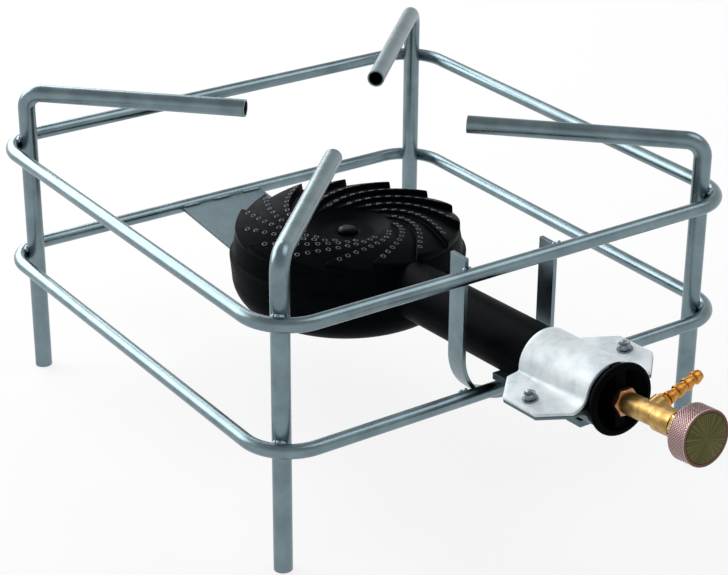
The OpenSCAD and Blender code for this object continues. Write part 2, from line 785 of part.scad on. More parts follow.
// Jet in the spigot's end, with the fine orifice that sends the gas down the tube
module jet() {
    color("goldenrod") valve_place() difference() {
        union() {
            translate([0, 0, -spigot_back]) cylinder(h = jet_shank, r = jet_r);
            translate([0, 0, -spigot_back - jet_len]) hexagon(jet_af, jet_len);
        }
        translate([0, 0, -spigot_back - jet_len - cut])
            cylinder(h = jet_len + jet_shank + 2 * cut, r = jet_hole_r);
        translate([0, 0, -spigot_back]) cylinder(h = jet_shank + cut, r = passage_r);
    }
}

// Barb: thread, collar and a row of crests that each rise towards the valve
module hose_barb() {
    collar_z = barb_boss_len + seal_t;
    first_z = collar_z + barb_collar_t;
    crest_pitch = (barb_reach - first_z) / barb_count;
    plain = crest_pitch * barb_plain_share;
    color("goldenrod") barb_place() difference() {
        union() {
            translate([0, 0, neck_r - barb_bore_r + slip_gap])
                cylinder(h = collar_z - neck_r + barb_bore_r, r = barb_thread_r);
            translate([0, 0, collar_z]) cylinder(h = barb_collar_t, r = barb_collar_r);
            for (i = [1 : barb_count]) translate([0, 0, first_z + (i - 1) * crest_pitch]) {
                cylinder(h = plain, r = barb_root_r);
                translate([0, 0, plain])
                    cylinder(h = crest_pitch - plain, r1 = barb_crest_r, r2 = barb_root_r);
            }
        }
        cylinder(h = barb_reach + cut, r = barb_bore_r);
    }
}

module barb_seal() {
    color("peru") barb_place() translate([0, 0, barb_boss_len])
        ring_shape(barb_collar_r, barb_thread_r + slip_gap, seal_t);
}

// Needle spindle, from its point in the seat to the turned-down end in the knob
module valve_spindle() {
    color("silver") valve_place() difference() {
        rotate_extrude() polygon([
            [0, seat_z], [needle_r, seat_z], [spindle_r, seat_z + spindle_r + running_gap],
            [spindle_r, knob_back], [spindle_end_r, knob_back],
            [spindle_end_r, knob_web_back + knob_web], [0, knob_web_back + knob_web]
        ]);
        translate([0, 0, knob_web_back + knob_web - knob_screw_len])
            cylinder(h = knob_screw_len + cut, r = knob_screw_r + slip_gap);
    }
}

module gland_packing() {
    color("black") valve_place() translate([0, 0, valve_len - gland_depth])
        ring_shape(gland_r - slip_gap, spindle_r + running_gap, packing_len);
}

module gland_nut() {
    thread_z = valve_len - gland_depth + packing_len;
    color("goldenrod") valve_place() difference() {
        union() {
            translate([0, 0, thread_z]) cylinder(h = valve_len - thread_z, r = gland_r - slip_gap);
            translate([0, 0, valve_len]) hexagon(gland_nut_af, gland_nut_h);
        }
        cylinder(h = knob_back, r = spindle_r + running_gap);
    }
}

// Knob: knurled rim, web and hub, open at the back, with a recess in its face for the disc
module knob() {
    color("rosybrown") valve_place() rotate_extrude() polygon([
        [spindle_end_r + slip_gap, knob_back], [knob_hub_r, knob_back], [knob_hub_r, knob_web_back],
        [knob_r - knob_wall, knob_web_back], [knob_r - knob_wall, knob_back],
        [knob_r - knob_edge, knob_back], [knob_r, knob_back + knob_edge],
        [knob_r, knob_front - knob_edge], [knob_r - knob_edge, knob_front],
        [disc_r + slip_gap, knob_front], [disc_r + slip_gap, knob_front - disc_t],
        [knob_screw_head_r + slip_gap, knob_front - disc_t],
        [knob_screw_head_r + slip_gap, knob_web_back + knob_web],
        [spindle_end_r + slip_gap, knob_web_back + knob_web]
    ]);
}

// Face disc with a low dome
module knob_disc() {
    color("darkolivegreen") valve_place() translate([0, 0, knob_front - disc_t]) rotate_extrude() polygon([
        [0, 0], [disc_r, 0], [disc_r, disc_t],
        for (share = dome_shares) [disc_r * share, disc_t + disc_dome * (1 - share * share)]
    ]);
}

module knob_screw() {
    seat = knob_web_back + knob_web;
    color("silver") valve_place() {
        translate([0, 0, seat]) cylinder(h = knob_screw_head_h - slip_gap, r = knob_screw_head_r);
        translate([0, 0, seat - knob_screw_len + slip_gap]) cylinder(h = knob_screw_len, r = knob_screw_r);
    }
}

leg_front_left();
leg_front_right();
leg_back_left();
leg_back_right();
upper_ring();
lower_ring();
burner_cradle();
rear_support_strap();
burner_body();
burner_cap();
burner_bolt();
burner_bolt_washer();
burner_bolt_nut();
clamp_saddle();
clamp_base();
clamp_screws();
clamp_washers();
clamp_nuts();
valve_body();
valve_lock_nut();
jet();
hose_barb();
barb_seal();
valve_spindle();
gland_packing();
gland_nut();
knob();
knob_disc();
knob_screw();
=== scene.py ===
import math

import bmesh
import bpy
import numpy as np
from mathutils import Matrix, Vector


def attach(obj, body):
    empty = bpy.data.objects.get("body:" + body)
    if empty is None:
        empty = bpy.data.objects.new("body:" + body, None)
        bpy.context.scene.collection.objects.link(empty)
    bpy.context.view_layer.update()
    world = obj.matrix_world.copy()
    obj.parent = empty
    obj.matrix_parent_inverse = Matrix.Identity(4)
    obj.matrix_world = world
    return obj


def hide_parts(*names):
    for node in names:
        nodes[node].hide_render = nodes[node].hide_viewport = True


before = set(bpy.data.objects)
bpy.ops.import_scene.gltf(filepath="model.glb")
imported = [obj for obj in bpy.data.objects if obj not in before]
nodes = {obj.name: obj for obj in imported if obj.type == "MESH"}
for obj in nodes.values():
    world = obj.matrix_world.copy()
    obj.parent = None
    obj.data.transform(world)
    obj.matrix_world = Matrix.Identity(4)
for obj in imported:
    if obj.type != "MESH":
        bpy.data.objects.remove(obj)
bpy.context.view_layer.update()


# Stand tubes and bars: four legs of bent steel tube and two square rings of round bar, with a flat
# bar bent to a U for the mixing tube. They are welded together and zinc plated afterwards, which
# leaves a satin, slightly blue skin with faint clouds and fine draw marks.

# Lengths are in millimetres and angles in degrees, here and below, until MM or radians turns them.
MM = 0.001


def linear(code):
    """Linear RGBA of an sRGB hex colour: a straight line where it is darkest, then a power."""
    channels = np.array([int(code[i:i + 2], 16) for i in (0, 2, 4)]) / 255
    rgb = np.where(channels <= 0.04045, channels / 12.92, ((channels + 0.055) / 1.055) ** 2.4)
    return (*rgb.tolist(), 1.0)


def feed(node, inputs):
    """Fills a node's sockets. An output is linked, a node is linked by its first output, and
    anything else becomes the socket's own value."""
    for socket, value in inputs.items():
        if isinstance(value, bpy.types.Node):
            value = value.outputs[0]
        if isinstance(value, bpy.types.NodeSocket):
            node.id_data.links.new(value, node.inputs[socket])
        else:
            node.inputs[socket].default_value = value


def add(tree, kind, inputs=(), stops=(), **settings):
    """A new node with its settings and inputs. stops are the places and sRGB hex colours of a
    colour ramp."""
    made = tree.nodes.new("ShaderNode" + kind)
    for name, value in settings.items():
        setattr(made, name, value)
    feed(made, dict(inputs))
    if stops:
        elements = made.color_ramp.elements
        while len(elements) < len(stops):
            elements.new(0.5)
        for element, (place, code) in zip(elements, stops):
            element.position = place
            element.color = linear(code)
    return made


def start_material(name, values):
    """A new material, its tree and its shader, with these values on the shader's own sockets."""
    made = bpy.data.materials.new(name)
    made.use_nodes = True
    shader = made.node_tree.nodes["Principled BSDF"]
    feed(shader, values)
    return made, made.node_tree, shader


def features(size_mm):
    """Scale of a texture whose features are about this many millimetres across."""
    return 1 / (size_mm * MM)


def dress(material, *names):
    """Gives CAD nodes a material."""
    for name in names:
        slots = nodes[name].data.materials
        slots.clear()
        slots.append(material)


# Clouds of 22 mm are the spangle of the thin zinc; the grain of 0.9 mm is drawn about three times
# as coarse as it is, so that it shows. Cut edges of tube and bar catch light on a 0.3 mm round.
galvanised, tree, shader = start_material("galvanised_steel", {"Metallic": 1.0})
where = add(tree, "TexCoord").outputs["Object"]
clouds = add(tree, "TexNoise", {"Vector": where, "Scale": features(22), "Detail": 5.0,
                                "Roughness": 0.6})
grain = add(tree, "TexNoise", {"Vector": where, "Scale": features(0.9), "Detail": 2.0})
tint = add(tree, "ValToRGB", {"Fac": clouds},
           stops=((0.3, "68797F"), (0.5, "73858B"), (0.7, "7F9197")))
gloss = add(tree, "MapRange", {"Value": clouds, "From Min": 0.3, "From Max": 0.7,
                               "To Min": 0.25, "To Max": 0.33})
edges = add(tree, "Bevel", {"Radius": 0.3 * MM}, samples=4)
relief = add(tree, "Bump", {"Height": grain, "Strength": 0.08, "Distance": 0.2 * MM,
                            "Normal": edges})
feed(shader, {"Base Color": tint, "Roughness": gloss, "Normal": relief})
dress(galvanised, "leg_front_left", "leg_front_right", "leg_back_left", "leg_back_right",
      "upper_ring", "lower_ring", "burner_cradle")


# Welds: short beads of filler metal laid in the grooves where bars, tubes and flat pieces touch.
# They are plated with the stand, so they have its colour, a little duller, and are rippled.

STAND_Y = 93.05
BURNER_X = -3.0
RING_HALF, RING_BAR_R, RING_CORNER_R = 195.0, 5.0, 33.7
LOWER_RING_Z, UPPER_RING_Z = 96.0, 186.5
LEG_R = 6.5
WELD_DEPTH = 0.4
CRADLE_HALF, CRADLE_T = 36.25, 3.0
STRAP_T = 2.5
SEW_DISTANCE = 0.002


def show(name, data):
    """A new object in the scene, at the origin."""
    made = bpy.data.objects.new(name, data)
    bpy.context.scene.collection.objects.link(made)
    return made


def surface(name, grids, body, material, replaced=()):
    """A piece from one or more grids of points in millimetres, each rows by columns by 3. Each
    cell is a face; edges and points that coincide are sewn, which closes seams and poles."""
    points, faces, first = [], [], 0
    for grid in grids:
        rows, columns = grid.shape[:2]
        index = np.arange(rows * columns).reshape(rows, columns) + first
        cells = [index[:-1, :-1], index[1:, :-1], index[1:, 1:], index[:-1, 1:]]
        faces.append(np.stack(cells, -1).reshape(-1, 4))
        points.append(grid.reshape(-1, 3))
        first += rows * columns
    mesh = bpy.data.meshes.new(name)
    mesh.from_pydata(np.concatenate(points) * MM, [], np.concatenate(faces).tolist())
    sewn = bmesh.new()
    sewn.from_mesh(mesh)
    bmesh.ops.remove_doubles(sewn, verts=sewn.verts, dist=SEW_DISTANCE * MM)
    bmesh.ops.recalc_face_normals(sewn, faces=sewn.faces)
    sewn.to_mesh(mesh)
    sewn.free()
    mesh.polygons.foreach_set("use_smooth", np.ones(len(mesh.polygons), bool))
    mesh.materials.append(material)
    piece = show(name, mesh)
    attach(piece, body)
    if replaced:
        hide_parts(*replaced)
    return piece


def tube_along(path, radius, around=12):
    """A closed tube: circles of the given radius, one for each point of a path, square to its
    slope. They start aside, the cross product of the slope with the axis the path spreads along
    least."""
    path = np.asarray(path, float)
    radius = np.broadcast_to(radius, len(path))[:, None, None]
    along = np.gradient(path, axis=0)
    along /= np.linalg.norm(along, axis=1, keepdims=True)
    aside = np.cross(along, np.eye(3)[np.argmin(np.ptp(path, axis=0))])
    aside /= np.linalg.norm(aside, axis=1, keepdims=True)
    over = np.cross(along, aside)
    turn = np.linspace(0, 2 * np.pi, around + 1)[None, :, None]
    return path[:, None] + radius * (np.cos(turn) * aside[:, None] + np.sin(turn) * over[:, None])


def bead(path, thick, ripples):
    """A weld bead: a tube that is a tenth thicker and thinner at each ripple, by a sine wave, and
    rounded off at its ends, by the root of one less the sixth power of the way from the middle."""
    share = np.linspace(0, 1, len(path))
    ends = np.sqrt(np.clip(1 - np.abs(2 * share - 1) ** 6, 0, 1))
    return tube_along(path, thick * ends * (1 + 0.1 * np.sin(2 * np.pi * ripples * share)))


def arc_points(low, high, count):
    """Angles from low to high, in degrees, as radians."""
    return np.radians(np.linspace(low, high, count))


# Beads in the grooves between legs and ring corners, above and below each ring: they follow the
# leg round, at the height where the ring's bar meets it.
LEG_BEAD_R, LEG_BEAD_SPAN = 2.0, 34
LEG_BEAD_OUT, LEG_BEAD_LIFT = 0.9, 0.6
welds = []
corner = RING_HALF - RING_CORNER_R
leg_from_corner = RING_CORNER_R - RING_BAR_R - LEG_R + WELD_DEPTH
swing = arc_points(-LEG_BEAD_SPAN, LEG_BEAD_SPAN, 22)
off = leg_from_corner + (LEG_R + LEG_BEAD_OUT) * np.cos(swing)
across = (LEG_R + LEG_BEAD_OUT) * np.sin(swing)
from_bar = RING_CORNER_R - np.hypot(off, across)
bar_top = np.sqrt(np.clip(RING_BAR_R ** 2 - from_bar ** 2, 0, None))
for turn in arc_points(45, 315, 4):
    out = np.array([math.cos(turn), math.sin(turn), 0])
    side = np.array([-out[1], out[0], 0])
    centre = np.array([corner * np.sign(out[0]), corner * np.sign(out[1]) + STAND_Y, 0])
    for height in (LOWER_RING_Z, UPPER_RING_Z):
        for up in (1, -1):
            path = centre + off[:, None] * out + across[:, None] * side
            path[:, 2] = height + up * (bar_top + LEG_BEAD_LIFT)
            welds.append(bead(path, LEG_BEAD_R, 5))

# Beads on both faces of the cradle's uprights, round the ring bars that they touch.
CRADLE_BEAD_R, CRADLE_BEAD_SPAN = 1.4, 58
FLAT_BEAD_LIFT = 0.5
swing = arc_points(-CRADLE_BEAD_SPAN, CRADLE_BEAD_SPAN, 16)
round_bar = RING_BAR_R + FLAT_BEAD_LIFT
for height in (LOWER_RING_Z, UPPER_RING_Z):
    for side in (-1, 1):
        for face in (CRADLE_HALF - FLAT_BEAD_LIFT, CRADLE_HALF + CRADLE_T + FLAT_BEAD_LIFT):
            path = np.stack([np.full_like(swing, BURNER_X + side * face),
                             STAND_Y - RING_HALF + round_bar * np.cos(swing),
                             height + round_bar * np.sin(swing)], -1)
            welds.append(bead(path, CRADLE_BEAD_R, 4))

# Three stitches along the strap's back edge, above and below the lower ring's middle.
STITCH_R, STITCH_HALF, STITCH_SUNK = 1.0, 8.0, 0.2
STITCH_PITCH = 28.0
for middle in (-STITCH_PITCH, 0.0, STITCH_PITCH):
    for up in (1, -1):
        x = np.linspace(middle - STITCH_HALF, middle + STITCH_HALF, 26) + BURNER_X
        path = np.stack([x, np.full_like(x, STAND_Y + RING_HALF - RING_BAR_R - STITCH_SUNK),
                         np.full_like(x, LOWER_RING_Z + up * (STRAP_T / 2 + FLAT_BEAD_LIFT))], -1)
        welds.append(bead(path, STITCH_R, 7))

# Zinc takes less evenly on weld metal, in spots of about 1.6 mm that are rough and vary in tone.
weld_zinc, tree, shader = start_material("weld_bead_zinc", {"Metallic": 1.0, "Roughness": 0.42})
where = add(tree, "TexCoord").outputs["Object"]
spots = add(tree, "TexNoise", {"Vector": where, "Scale": features(1.6), "Detail": 3.0})
tint = add(tree, "ValToRGB", {"Fac": spots}, stops=((0.35, "74828A"), (0.65, "9CABB2")))
relief = add(tree, "Bump", {"Height": spots, "Strength": 0.4, "Distance": 0.3 * MM})
feed(shader, {"Base Color": tint, "Normal": relief})
surface("stand_welds", welds, "burner", weld_zinc)


# Rear strap: a strip of cut sheet steel, bent under the bowl and welded to the lower ring. It is
# plated like the stand but stays duller and flatter, with faint marks from the rolling mill.

# The marks are 1.2 mm wide and drawn out 17 times as long, towards the back; clouds are 26 mm.
strap_steel, tree, shader = start_material("rolled_sheet_zinc", {"Metallic": 1.0, "Roughness": 0.5})
where = add(tree, "TexCoord").outputs["Object"]
mill = add(tree, "Mapping", {"Vector": where, "Scale": (1.0, 0.06, 1.0)})
marks = add(tree, "TexNoise", {"Vector": mill, "Scale": features(1.2), "Detail": 3.0})
clouds = add(tree, "TexNoise", {"Vector": where, "Scale": features(26), "Detail": 4.0})
mixed = add(tree, "Mix", {"Factor": 0.3, "A": clouds.outputs["Fac"], "B": marks.outputs["Fac"]})
tint = add(tree, "ValToRGB", {"Fac": mixed}, stops=((0.32, "5B6B72"), (0.68, "6C7E85")))
edges = add(tree, "Bevel", {"Radius": 0.4 * MM}, samples=4)
relief = add(tree, "Bump", {"Height": marks, "Strength": 0.12, "Distance": 0.15 * MM,
                            "Normal": edges})
feed(shader, {"Base Color": tint, "Normal": relief})
dress(strap_steel, "rear_support_strap")


# Burner casting: bowl, mixing tube and bell mouth in one piece of sand-cast iron, sprayed with
# black heat-proof paint. The paint is satin, the sand's grain of about 1.3 mm shows through it, and
# a line runs along both sides of the tube where the two halves of the mould met.

CASTING_Y, CASTING_Z, CASTING_TILT = 4.0, 78.0, 1.5
TUBE_R, TUBE_RISE, TUBE_SLOPE = 20.8, 38.3, 1.65
MOULD_LINE_R, MOULD_LINE_SUNK = 0.55, 0.25
MOULD_LINE_START, MOULD_LINE_END = 90.0, 303.0
MOULD_LINE_SWAY, MOULD_LINE_WAVE = 0.35, 17.0


def move_by(x, y, z):
    """The matrix that moves a piece."""
    return Matrix.Translation((x, y, z))


def turn_by(degrees, axis):
    """The matrix that turns a piece about one of its own axes."""
    return Matrix.Rotation(math.radians(degrees), 4, axis)


def put(place, grid):
    """The points of a grid, taken from a piece's own frame to the burner's."""
    place = np.array(place)
    return grid @ place[:3, :3].T + place[:3, 3]


CASTING = move_by(BURNER_X, CASTING_Y + STAND_Y, CASTING_Z) @ turn_by(-CASTING_TILT, "X")
TUBE = CASTING @ move_by(0, 0, TUBE_RISE) @ turn_by(90 - TUBE_SLOPE, "X")

# Dust and wear of about 14 mm change the paint's tone and gloss a little.
cast_iron, tree, shader = start_material("painted_cast_iron", {"Metallic": 0.0,
                                                               "Specular IOR Level": 0.012})
where = add(tree, "TexCoord").outputs["Object"]
sand = add(tree, "TexNoise", {"Vector": where, "Scale": features(1.3), "Detail": 4.0,
                              "Roughness": 0.6})
dust = add(tree, "TexNoise", {"Vector": where, "Scale": features(14), "Detail": 6.0,
                              "Roughness": 0.65})
tint = add(tree, "ValToRGB", {"Fac": dust},
           stops=((0.35, "040609"), (0.6, "070A0E"), (0.8, "0E1217")))
gloss = add(tree, "MapRange", {"Value": dust, "From Min": 0.3, "From Max": 0.7,
                               "To Min": 0.36, "To Max": 0.5})
edges = add(tree, "Bevel", {"Radius": 0.6 * MM}, samples=4)
relief = add(tree, "Bump", {"Height": sand, "Strength": 0.3, "Distance": 0.35 * MM,
                            "Normal": edges})
feed(shader, {"Base Color": tint, "Roughness": gloss, "Normal": relief})
dress(cast_iron, "burner_body")

along = np.linspace(MOULD_LINE_START, MOULD_LINE_END, 120)
sway = MOULD_LINE_SWAY * np.sin(along / MOULD_LINE_WAVE)
mould_lines = []
for side in (-1, 1):
    path = np.stack([np.full_like(along, side * (TUBE_R - MOULD_LINE_SUNK)), sway, along], -1)
    mould_lines.append(put(TUBE, tube_along(path, MOULD_LINE_R, 8)))
surface("mould_line_ridges", mould_lines, "burner", cast_iron)


# Burner cap: a separate casting that drops into the bowl's rim. Its arched ring carries fifteen
# spiral teeth, each a long ramp that falls to the foot of the next one's step, round a dished
# middle with the bolt's hole. It has the bowl's black paint.

CAP_R, CAP_T, CAP_SPIGOT_R = 84.0, 5.0, 79.0
RIM_Z = 60.5
BOWL_H = 58.5
CROWN_R, CROWN_H = 62.0, 2.4
DISH_R, DISH_DEPTH = 32.0, 5.0
HUB_R, BOLT_HOLE_R = 20.0, 4.3
TEETH = 15
STEP_H, STEP_FOOT, STEP_BLEND = 5.8, 0.3, 1.1
CREST_START, CREST_SLANT, CREST_CURL = 56.7, 35.4, 134


def about_axis(r, z, turn):
    """Points at radii, heights and angles about z, spread over each other's rows and columns."""
    r, z, turn = np.broadcast_arrays(r, z, turn)
    return np.stack([r * np.cos(turn), r * np.sin(turn), z], -1)


def step_h(r):
    """Height of a step at radius r, in proportion to the radius."""
    return STEP_H * r / CAP_R


def plate_z(r):
    """Height of the arched plate: the rim's, what the steps lose towards the middle, and a
    parabola that is highest at the crown."""
    return RIM_Z + STEP_H - step_h(r) + CROWN_H * (1 - ((r - CROWN_R) / (CAP_R - CROWN_R)) ** 2)


def crest_angle(r):
    """Plan angle of the first tooth's crest: a second-order curve in the share of the way in from
    the rim, which stands still inside the ring of teeth."""
    inward = (CAP_R - np.maximum(r, DISH_R)) / CAP_R
    return np.radians(CREST_START + (CREST_SLANT + CREST_CURL * inward) * inward)


HUB_Z = plate_z(DISH_R) - DISH_DEPTH


def cap_grid():
    """Radius by angle: the section of the cap, closed through the bolt's hole, turned about z. A
    row of the section is a radius, a height, and the share of the teeth that it carries. The teeth
    are a saw wave of the angle, STEP_FOOT over the plate: down along the ramp, then up a step that
    a smooth cubic spreads over STEP_BLEND. Each has columns near its step and some on its ramp."""
    dish_z = plate_z(DISH_R)
    section = [(BOLT_HOLE_R, HUB_Z - CAP_T, 0), (BOLT_HOLE_R, HUB_Z - 0.6, 0),
               (BOLT_HOLE_R + 0.5, HUB_Z, 0), (12, HUB_Z, 0), (HUB_R - 1.5, HUB_Z, 0),
               (HUB_R + 0.5, HUB_Z + 0.35, 0), (HUB_R + 3, HUB_Z + 1.25, 0),
               (DISH_R - 1, dish_z - 0.45, 0), (DISH_R, dish_z, 0.02)]
    section += [(DISH_R + out, plate_z(DISH_R + out), share)
                for out, share in ((0.2, 0.2), (0.4, 0.6), (0.8, 0.9), (1.5, 1))]
    section += [(r, plate_z(r), 1) for r in np.linspace(DISH_R + 3, CAP_R - 1.8, 22)]
    section += [(CAP_R - back, plate_z(CAP_R - back) - fall, 1)
                for back, fall in ((1.1, 0.02), (0.6, 0.12), (0.25, 0.4), (0.05, 0.8), (0, 1.3))]
    section += [(CAP_R, BOWL_H + 0.3, 0), (CAP_R - 0.3, BOWL_H, 0), (CAP_SPIGOT_R, BOWL_H, 0)]
    section += [(r, plate_z(r) - CAP_T, 0) for r in (CAP_SPIGOT_R, CROWN_R, DISH_R)]
    section += [(HUB_R, HUB_Z - CAP_T, 0), (BOLT_HOLE_R, HUB_Z - CAP_T, 0)]
    r, base, share = (np.array(column)[:, None] for column in zip(*section))
    reach = np.maximum(r, DISH_R)
    pitch = 2 * np.pi / TEETH
    near_step = np.array([-2.2, -1.2, -0.6, -0.25, 0.1, 0.45, 0.8, 1.3, 2.2]) / reach
    on_ramp = np.array([[0.22, 0.36, 0.5, 0.64, 0.78]]).repeat(len(r), 0) * pitch
    tooth = np.concatenate([near_step, on_ramp], 1)
    columns = [tooth + k * pitch for k in range(TEETH)] + [tooth[:, :1] + TEETH * pitch]
    offset = np.concatenate(columns, 1)
    phase = np.mod(offset / pitch + 0.5, 1) - 0.5
    blend = np.clip((phase * pitch * reach + STEP_BLEND / 2) / STEP_BLEND, 0, 1)
    blend = blend * blend * (3 - 2 * blend)
    ramp = 1 - np.mod(offset / pitch, 1)
    high = np.where(phase < 0, 1.0, ramp)
    low = np.where(phase < 0, ramp, 0.0)
    saw = low + (high - low) * blend
    z = base + share * (STEP_FOOT + step_h(r) * saw)
    return about_axis(r, z, crest_angle(r) + offset)


surface("spiral_cap", [put(CASTING, cap_grid())], "burner", cast_iron, ("burner_cap",))


# Flame ports: a row of drilled holes along each tooth, just behind its crest. The drill breaks the
# paint, so each hole has a bright lip of bare iron, about 4 mm across, which the eye sees as a dot.

PORT_IN_R, PORT_OUT_R = 36.5, 78.5
PORT_PITCH, PORT_BEHIND = 7.4, 2.3
# Distance from the hole's middle and height over the paint, once round the lip.
LIP_SECTION = ((2.0, -0.2), (1.85, 0.14), (1.55, 0.22), (1.3, 0.1), (1.2, -0.2), (2.0, -0.2))


def ramp_point(r, angle, turn):
    """Point on a tooth's ramp at radius r, at a plan angle behind that tooth's crest."""
    share = angle * TEETH / (2 * np.pi)
    z = plate_z(r) + STEP_FOOT + step_h(r) * (1 - share)
    return about_axis(r, z, crest_angle(r) + angle + turn)


def port_grids():
    """Small rings on the ramps, at equal lengths along each crest: a circle in the ramp's own
    plane, carried round a section that rises from the paint, rounds over and falls into the hole.
    The plane comes from the slopes of the ramp outwards and round."""
    fine = np.linspace(PORT_IN_R, PORT_OUT_R, 400)
    slant = fine * np.gradient(crest_angle(fine), fine)
    length = np.concatenate([[0], np.cumsum(np.hypot(1, slant)[1:] * np.diff(fine))])
    r = np.interp(np.arange(0, length[-1], PORT_PITCH), length, fine)
    lean = np.hypot(1, np.interp(r, fine, slant))
    angle = PORT_BEHIND * lean / r
    turn = np.arange(TEETH)[:, None] * 2 * np.pi / TEETH
    here = ramp_point(r, angle, turn)
    outwards = ramp_point(r + 0.1, angle, turn) - here
    round_on = ramp_point(r, angle + 0.002, turn) - here
    outwards /= np.linalg.norm(outwards, axis=-1, keepdims=True)
    normal = np.cross(outwards, round_on)
    normal /= np.linalg.norm(normal, axis=-1, keepdims=True)
    aside = np.cross(normal, outwards)
    here, outwards, aside, normal = (v[:, :, None, None] for v in (here, outwards, aside, normal))
    circle = np.linspace(0, 2 * np.pi, 13)[:, None]
    away, rise = (np.array(column)[:, None, None] for column in zip(*LIP_SECTION))
    lips = here + away * (np.cos(circle) * outwards + np.sin(circle) * aside) + rise * normal
    return lips.reshape(-1, *lips.shape[2:])


# Drilled iron is dull and uneven, with dark flecks of graphite, drawn as spots of 3 mm.
bare_iron, tree, shader = start_material("drilled_bare_iron", {"Metallic": 1.0, "Roughness": 0.5})
where = add(tree, "TexCoord").outputs["Object"]
spots = add(tree, "TexNoise", {"Vector": where, "Scale": features(3), "Detail": 3.0})
tint = add(tree, "ValToRGB", {"Fac": spots}, stops=((0.35, "44494E"), (0.65, "70767C")))
feed(shader, {"Base Color": tint})
surface("flame_port_lips", put(CASTING, port_grids()), "burner", bare_iron)


# Burner bolt: a blackened steel bolt with a round head in the cap's dish, down through the bowl and
# the strap, with a zinc-plated washer and nut underneath.

BOLT_R, BOLT_PITCH, BOLT_THREAD_DEPTH = 4.0, 1.25, 0.4
BOLT_END_Z = -11.9
BOLT_HEAD_R, BOLT_HEAD_H = 7.5, 4


def turned(outline, around, soften):
    """Surface of revolution about z: a closed outline of (radius, height) points, each corner
    replaced by a short quadratic curve, which starts soften, or 0.4 of the side, away from it."""
    outline = np.array(outline, float)
    before, after = np.roll(outline, 1, 0) - outline, np.roll(outline, -1, 0) - outline
    side_before, side_after = (np.linalg.norm(v, axis=1, keepdims=True) for v in (before, after))
    reach = np.minimum(soften, 0.4 * np.minimum(side_before, side_after))
    reach = np.where(outline[:, :1] < 1e-6, 0, reach)
    start = (outline + before / side_before * reach)[:, None]
    end = (outline + after / side_after * reach)[:, None]
    t = np.linspace(0, 1, 4)[None, :, None]
    curve = (1 - t) ** 2 * start + 2 * t * (1 - t) * outline[:, None] + t ** 2 * end
    profile = curve.reshape(-1, 2)
    profile = np.concatenate([profile, profile[:1]])
    return about_axis(profile[:, :1], profile[:, 1:], np.linspace(0, 2 * np.pi, around + 1))


def screw_thread(radius, pitch, low, high, depth):
    """A threaded shank about z: the radius falls and rises once per pitch, by a triangle wave of
    height less turns, and both ends narrow to a point in a 45 degree chamfer and a flat."""
    z = np.concatenate([[low], np.arange(low, high, pitch / 6), [high]])[:, None]
    turn = np.linspace(0, 2 * np.pi, 33)[None]
    wave = np.abs(2 * np.mod(z / pitch - turn / (2 * np.pi), 1) - 1)
    r = np.minimum(radius - depth * wave, radius - 2 * depth + np.minimum(z - low, high - z))
    middle = np.zeros_like(turn)
    return about_axis(np.concatenate([middle, r, middle]), np.concatenate([z[:1], z, z[-1:]]), turn)


# Blackening leaves a thin dark oxide with a soft shine, mottled over about 4 mm.
black_steel, tree, shader = start_material("blackened_bolt_steel", {"Metallic": 1.0,
                                                                    "Roughness": 0.45})
where = add(tree, "TexCoord").outputs["Object"]
spots = add(tree, "TexNoise", {"Vector": where, "Scale": features(4), "Detail": 4.0})
tint = add(tree, "ValToRGB", {"Fac": spots}, stops=((0.35, "060709"), (0.7, "0F1114")))
feed(shader, {"Base Color": tint})
head = turned([(0, HUB_Z), (BOLT_HEAD_R, HUB_Z), (BOLT_HEAD_R, HUB_Z + 1.4), (6.4, HUB_Z + 2.9),
               (4.2, HUB_Z + 3.75), (0, HUB_Z + BOLT_HEAD_H)], 48, 0.8)
shank = screw_thread(BOLT_R, BOLT_PITCH, BOLT_END_Z, HUB_Z + 0.5, BOLT_THREAD_DEPTH)
surface("burner_bolt_domed", [put(CASTING, head), put(CASTING, shank)],
        "burner", black_steel, ("burner_bolt",))


# Clamp: two pressed halves of zinc-plated sheet, pulled together on the mixing tube by two screws.
# The upper one is almost white with soft grey smudges, and folds out to flat flanges, sharply at
# its back and softly at the mouth. The lower one, welded to the stand, is as dull as the strap.

CLAMP_TURN = 9.3
CLAMP_S, CLAMP_LEN = 235.5, 68.0
CLAMP_T, CLAMP_GAP, CLAMP_PLAY = 2.0, 0.4, 0.1
CLAMP_HALF_W, CLAMP_CORNER = 50.0, 17.5
FOLD_R, FOLD_GROWTH, FOLD_EASING = 2.6, 9.5, 1.3
SHEARED_EDGE_R = 0.3
CLAMP = TUBE @ turn_by(CLAMP_TURN, "Z")


